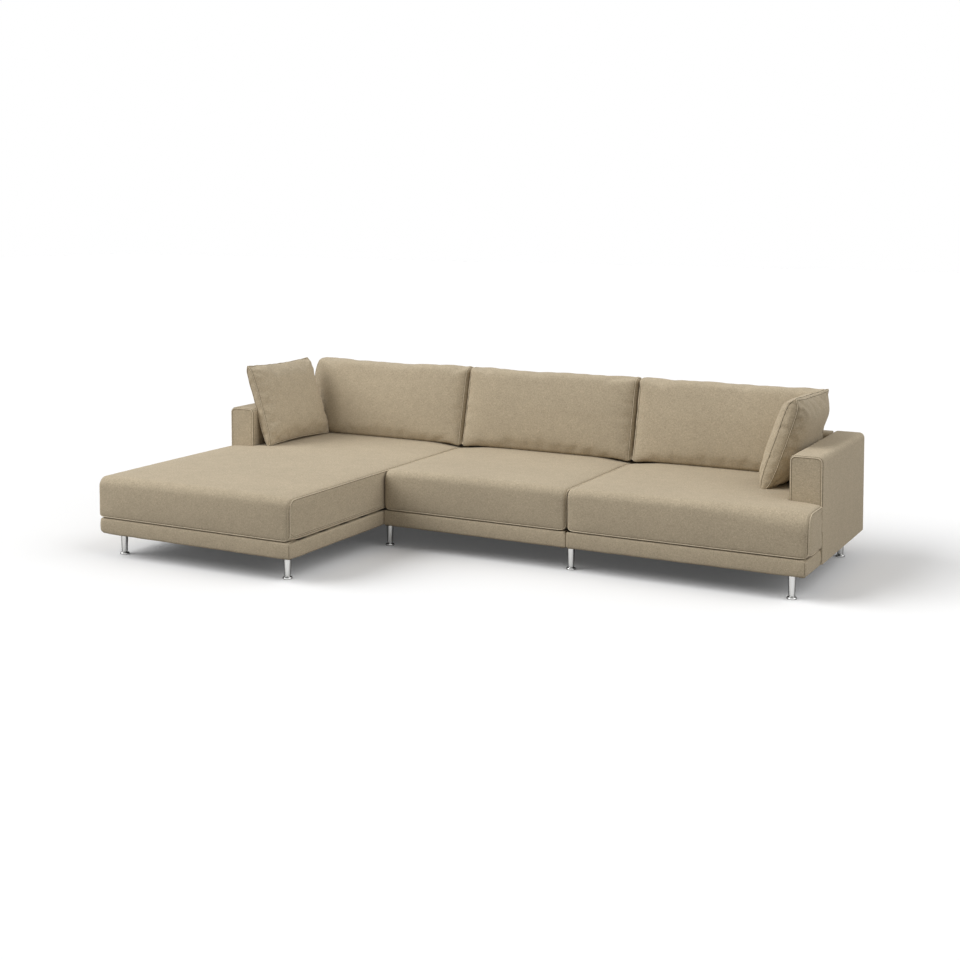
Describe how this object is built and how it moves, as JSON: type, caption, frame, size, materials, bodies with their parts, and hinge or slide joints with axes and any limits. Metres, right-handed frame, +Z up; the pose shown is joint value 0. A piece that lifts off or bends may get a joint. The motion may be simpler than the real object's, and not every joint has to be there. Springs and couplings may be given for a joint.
{
  "type": "sectional sofa",
  "caption": "Low L-shaped fabric sectional with a left chaise, loose seat and back cushions, low box arms, two throw pillows and round chromed legs.",
  "frame": {"origin": "on the floor, under the middle of the whole sofa's length and depth", "axes": "+X along the sofa's length, from the chaise to the right arm; +Y towards the backs; +Z up"},
  "size_m": [3.3196, 1.8428, 0.836],
  "materials": {
    "sofa_fabric": "fine heathered weave",
    "foam": "cut upholstery foam",
    "timber": "planed, unfinished",
    "webbing": "woven elastic strap",
    "dust_cloth": "thin nonwoven cloth",
    "chromed_steel": "polished",
    "plated_steel": "zinc plated"
  },
  "bodies": {
    "sofa_frame": {"chaise_base_cover": "sofa_fabric", "chaise_front_rail": "timber", "chaise_rear_rail": "timber", "chaise_side_rails": "timber", "chaise_cross_rails": "timber", "chaise_webbing": "webbing", "chaise_dust_cover": "dust_cloth", "chaise_back_cover": "sofa_fabric", "chaise_back_frame": "timber", "middle_base_cover": "sofa_fabric", "middle_front_rail": "timber", "middle_rear_rail": "timber", "middle_side_rails": "timber", "middle_cross_rails": "timber", "middle_webbing": "webbing", "middle_dust_cover": "dust_cloth", "middle_back_cover": "sofa_fabric", "middle_back_frame": "timber", "right_base_cover": "sofa_fabric", "right_front_rail": "timber", "right_rear_rail": "timber", "right_side_rails": "timber", "right_cross_rails": "timber", "right_webbing": "webbing", "right_dust_cover": "dust_cloth", "right_back_cover": "sofa_fabric", "right_back_frame": "timber", "left_arm_cover": "sofa_fabric", "left_arm_frame": "timber", "left_arm_front_panel": "sofa_fabric", "right_arm_cover": "sofa_fabric", "right_arm_frame": "timber", "right_arm_front_panel": "sofa_fabric", "chaise_front_legs": "chromed_steel", "front_legs": "chromed_steel", "rear_legs": "chromed_steel", "leg_glides": "chromed_steel", "leg_plates": "plated_steel", "module_tie_plates": "plated_steel"},
    "chaise_seat": {"chaise_seat_cushion": "sofa_fabric", "chaise_seat_core": "foam"},
    "middle_seat": {"middle_seat_cushion": "sofa_fabric", "middle_seat_core": "foam"},
    "right_seat": {"right_seat_cushion": "sofa_fabric", "right_seat_core": "foam"},
    "chaise_back": {"chaise_back_cushion": "sofa_fabric"},
    "middle_back": {"middle_back_cushion": "sofa_fabric"},
    "right_back": {"right_back_cushion": "sofa_fabric"},
    "left_throw_pillow": {"left_pillow": "sofa_fabric"},
    "right_throw_pillow": {"right_pillow": "sofa_fabric"}
  },
  "joints": [
    {"name": "chaise_seat_lift", "type": "slide", "parent": "sofa_frame", "child": "chaise_seat", "axis": [0, 0, 1], "range_m": [0, 0.45]},
    {"name": "middle_seat_lift", "type": "slide", "parent": "sofa_frame", "child": "middle_seat", "axis": [0, 0, 1], "range_m": [0, 0.45]},
    {"name": "right_seat_lift", "type": "slide", "parent": "sofa_frame", "child": "right_seat", "axis": [0, 0, 1], "range_m": [0, 0.45]},
    {"name": "chaise_back_lift", "type": "slide", "parent": "chaise_seat", "child": "chaise_back", "axis": [0, 0, 1], "range_m": [0, 0.45]},
    {"name": "middle_back_lift", "type": "slide", "parent": "middle_seat", "child": "middle_back", "axis": [0, 0, 1], "range_m": [0, 0.45]},
    {"name": "right_back_lift", "type": "slide", "parent": "right_seat", "child": "right_back", "axis": [0, 0, 1], "range_m": [0, 0.45]},
    {"name": "left_throw_pillow_lift", "type": "slide", "parent": "chaise_seat", "child": "left_throw_pillow", "axis": [0, 0, 1], "range_m": [0, 0.45]},
    {"name": "right_throw_pillow_lift", "type": "slide", "parent": "right_back", "child": "right_throw_pillow", "axis": [0, 0, 1], "range_m": [0, 0.45]}
  ]
}
